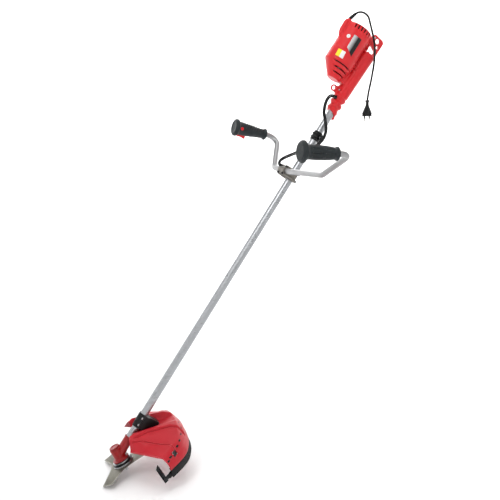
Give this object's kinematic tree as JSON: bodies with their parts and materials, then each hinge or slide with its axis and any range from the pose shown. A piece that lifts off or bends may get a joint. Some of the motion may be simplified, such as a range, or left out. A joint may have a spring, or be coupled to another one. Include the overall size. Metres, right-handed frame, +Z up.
{
  "type": "string trimmer",
  "caption": "Corded electric trimmer with a straight shaft, rear motor, bike-type handlebar, debris guard and toothed metal cutting blade",
  "frame": {"origin": "centre of the harness eye from which the tool hangs", "axes": "+Z up, with the shaft rising 55 degrees above the horizontal; +X to the rear, where the user stands; +Y to the user's right, along the eye's hole"},
  "size_m": [1.0364, 0.6482, 1.5006],
  "materials": {
    "housing_red": "moulded satin",
    "guard_red": "moulded satin",
    "head_red": "gloss paint",
    "control_red": "moulded satin",
    "grip_slate": "fine texture",
    "black_plastic": "fine texture",
    "black_steel": "satin paint",
    "tube_alloy": "drawn, satin",
    "cast_alloy": "as cast",
    "steel": "ground",
    "blade_steel": "tempered",
    "copper": "lacquered",
    "brass": "drawn",
    "pale_plastic": "moulded",
    "cable_black": "sheath",
    "belt_rubber": "moulded",
    "plate_black": "printed",
    "label_white": "printed",
    "pin_nickel": "plated"
  },
  "bodies": {
    "frame": {"housing_left": "housing_red", "housing_right": "housing_red", "housing_screws": "steel", "name_plate": "plate_black", "labels": "label_white", "terminal_block": "pale_plastic", "cord_sleeve": "black_plastic", "mains_cord": "cable_black", "plug_body": "black_plastic", "plug_pins": "pin_nickel", "control_cable": "cable_black", "stator": "steel", "field_coils": "copper", "motor_bracket": "cast_alloy", "motor_bearings": "steel", "brush_holders": "brass", "drive_belt": "belt_rubber", "shaft_bearings": "steel", "shaft_tube": "tube_alloy", "shaft_bushings": "pale_plastic", "cable_band": "black_plastic", "bar_clamp_base": "cast_alloy", "bar_clamp_cap": "cast_alloy", "bar_clamp_bolts": "black_steel", "guard": "guard_red", "guard_skirt": "black_plastic", "line_cutter": "black_steel", "cutter_screws": "steel", "guard_bracket": "black_steel", "guard_bracket_cap": "black_steel", "guard_screws": "steel", "gear_case": "head_red", "gear_case_cap": "head_red", "case_screws": "steel", "head_bearings": "steel"},
    "left_bar": {"left_handlebar": "tube_alloy", "left_grip": "grip_slate"},
    "right_bar": {"right_handlebar": "tube_alloy", "switch_grip_left": "grip_slate", "switch_grip_right": "grip_slate", "grip_screws": "steel", "power_switch": "black_plastic", "trigger_spring": "steel"},
    "trigger": {"trigger": "control_red"},
    "lock_button": {"lock_button": "control_red"},
    "rotor": {"armature": "steel", "commutator": "copper", "cooling_fan": "black_plastic", "motor_pulley": "steel"},
    "drive_line": {"drive_shaft": "steel", "driven_pulley": "cast_alloy", "bevel_pinion": "steel"},
    "cutter": {"bevel_gear": "steel", "output_spindle": "steel", "blade_flange": "steel", "blade": "blade_steel", "blade_cup": "steel", "blade_nut": "steel"}
  },
  "joints": [
    {"name": "left_bar_tilt", "type": "hinge", "parent": "frame", "child": "left_bar", "pos_m": [-0.18289, 0, -0.26991], "axis": [0, 1, 0], "range_deg": [-90, 60]},
    {"name": "right_bar_tilt", "type": "hinge", "parent": "frame", "child": "right_bar", "pos_m": [-0.18289, 0, -0.26991], "axis": [0, 1, 0], "range_deg": [-35, 35]},
    {"name": "trigger_pull", "type": "hinge", "parent": "right_bar", "child": "trigger", "pos_m": [-0.27054, 0.199, -0.15629], "axis": [0, 1, 0], "range_deg": [-9, 0], "stiffness_Nm_per_rad": 0.6, "springref_deg": 5.73, "deforming": ["trigger_spring"]},
    {"name": "lock_press", "type": "slide", "parent": "right_bar", "child": "lock_button", "axis": [0, 1, 0], "range_m": [0, 0.003], "stiffness_N_per_m": 300, "springref_m": -0.002},
    {"name": "blade_spin", "type": "hinge", "parent": "frame", "child": "cutter", "pos_m": [-0.78032, 0, -1.18589], "axis": [-0.4314, 0.1217, 0.8939], "continuous": true},
    {"name": "drive_spin", "type": "hinge", "parent": "frame", "child": "drive_line", "pos_m": [-0.1534, 0, -0.29056], "axis": [0.5736, 0, 0.8192], "continuous": true},
    {"name": "motor_spin", "type": "hinge", "parent": "frame", "child": "rotor", "pos_m": [0.01541, 0, 0.07955], "axis": [0.5736, 0, 0.8192], "continuous": true}
  ],
  "couplings": [
    {"joint": "drive_spin", "follows": "blade_spin", "ratio": -1.2857},
    {"joint": "motor_spin", "follows": "blade_spin", "ratio": -2.8571}
  ]
}
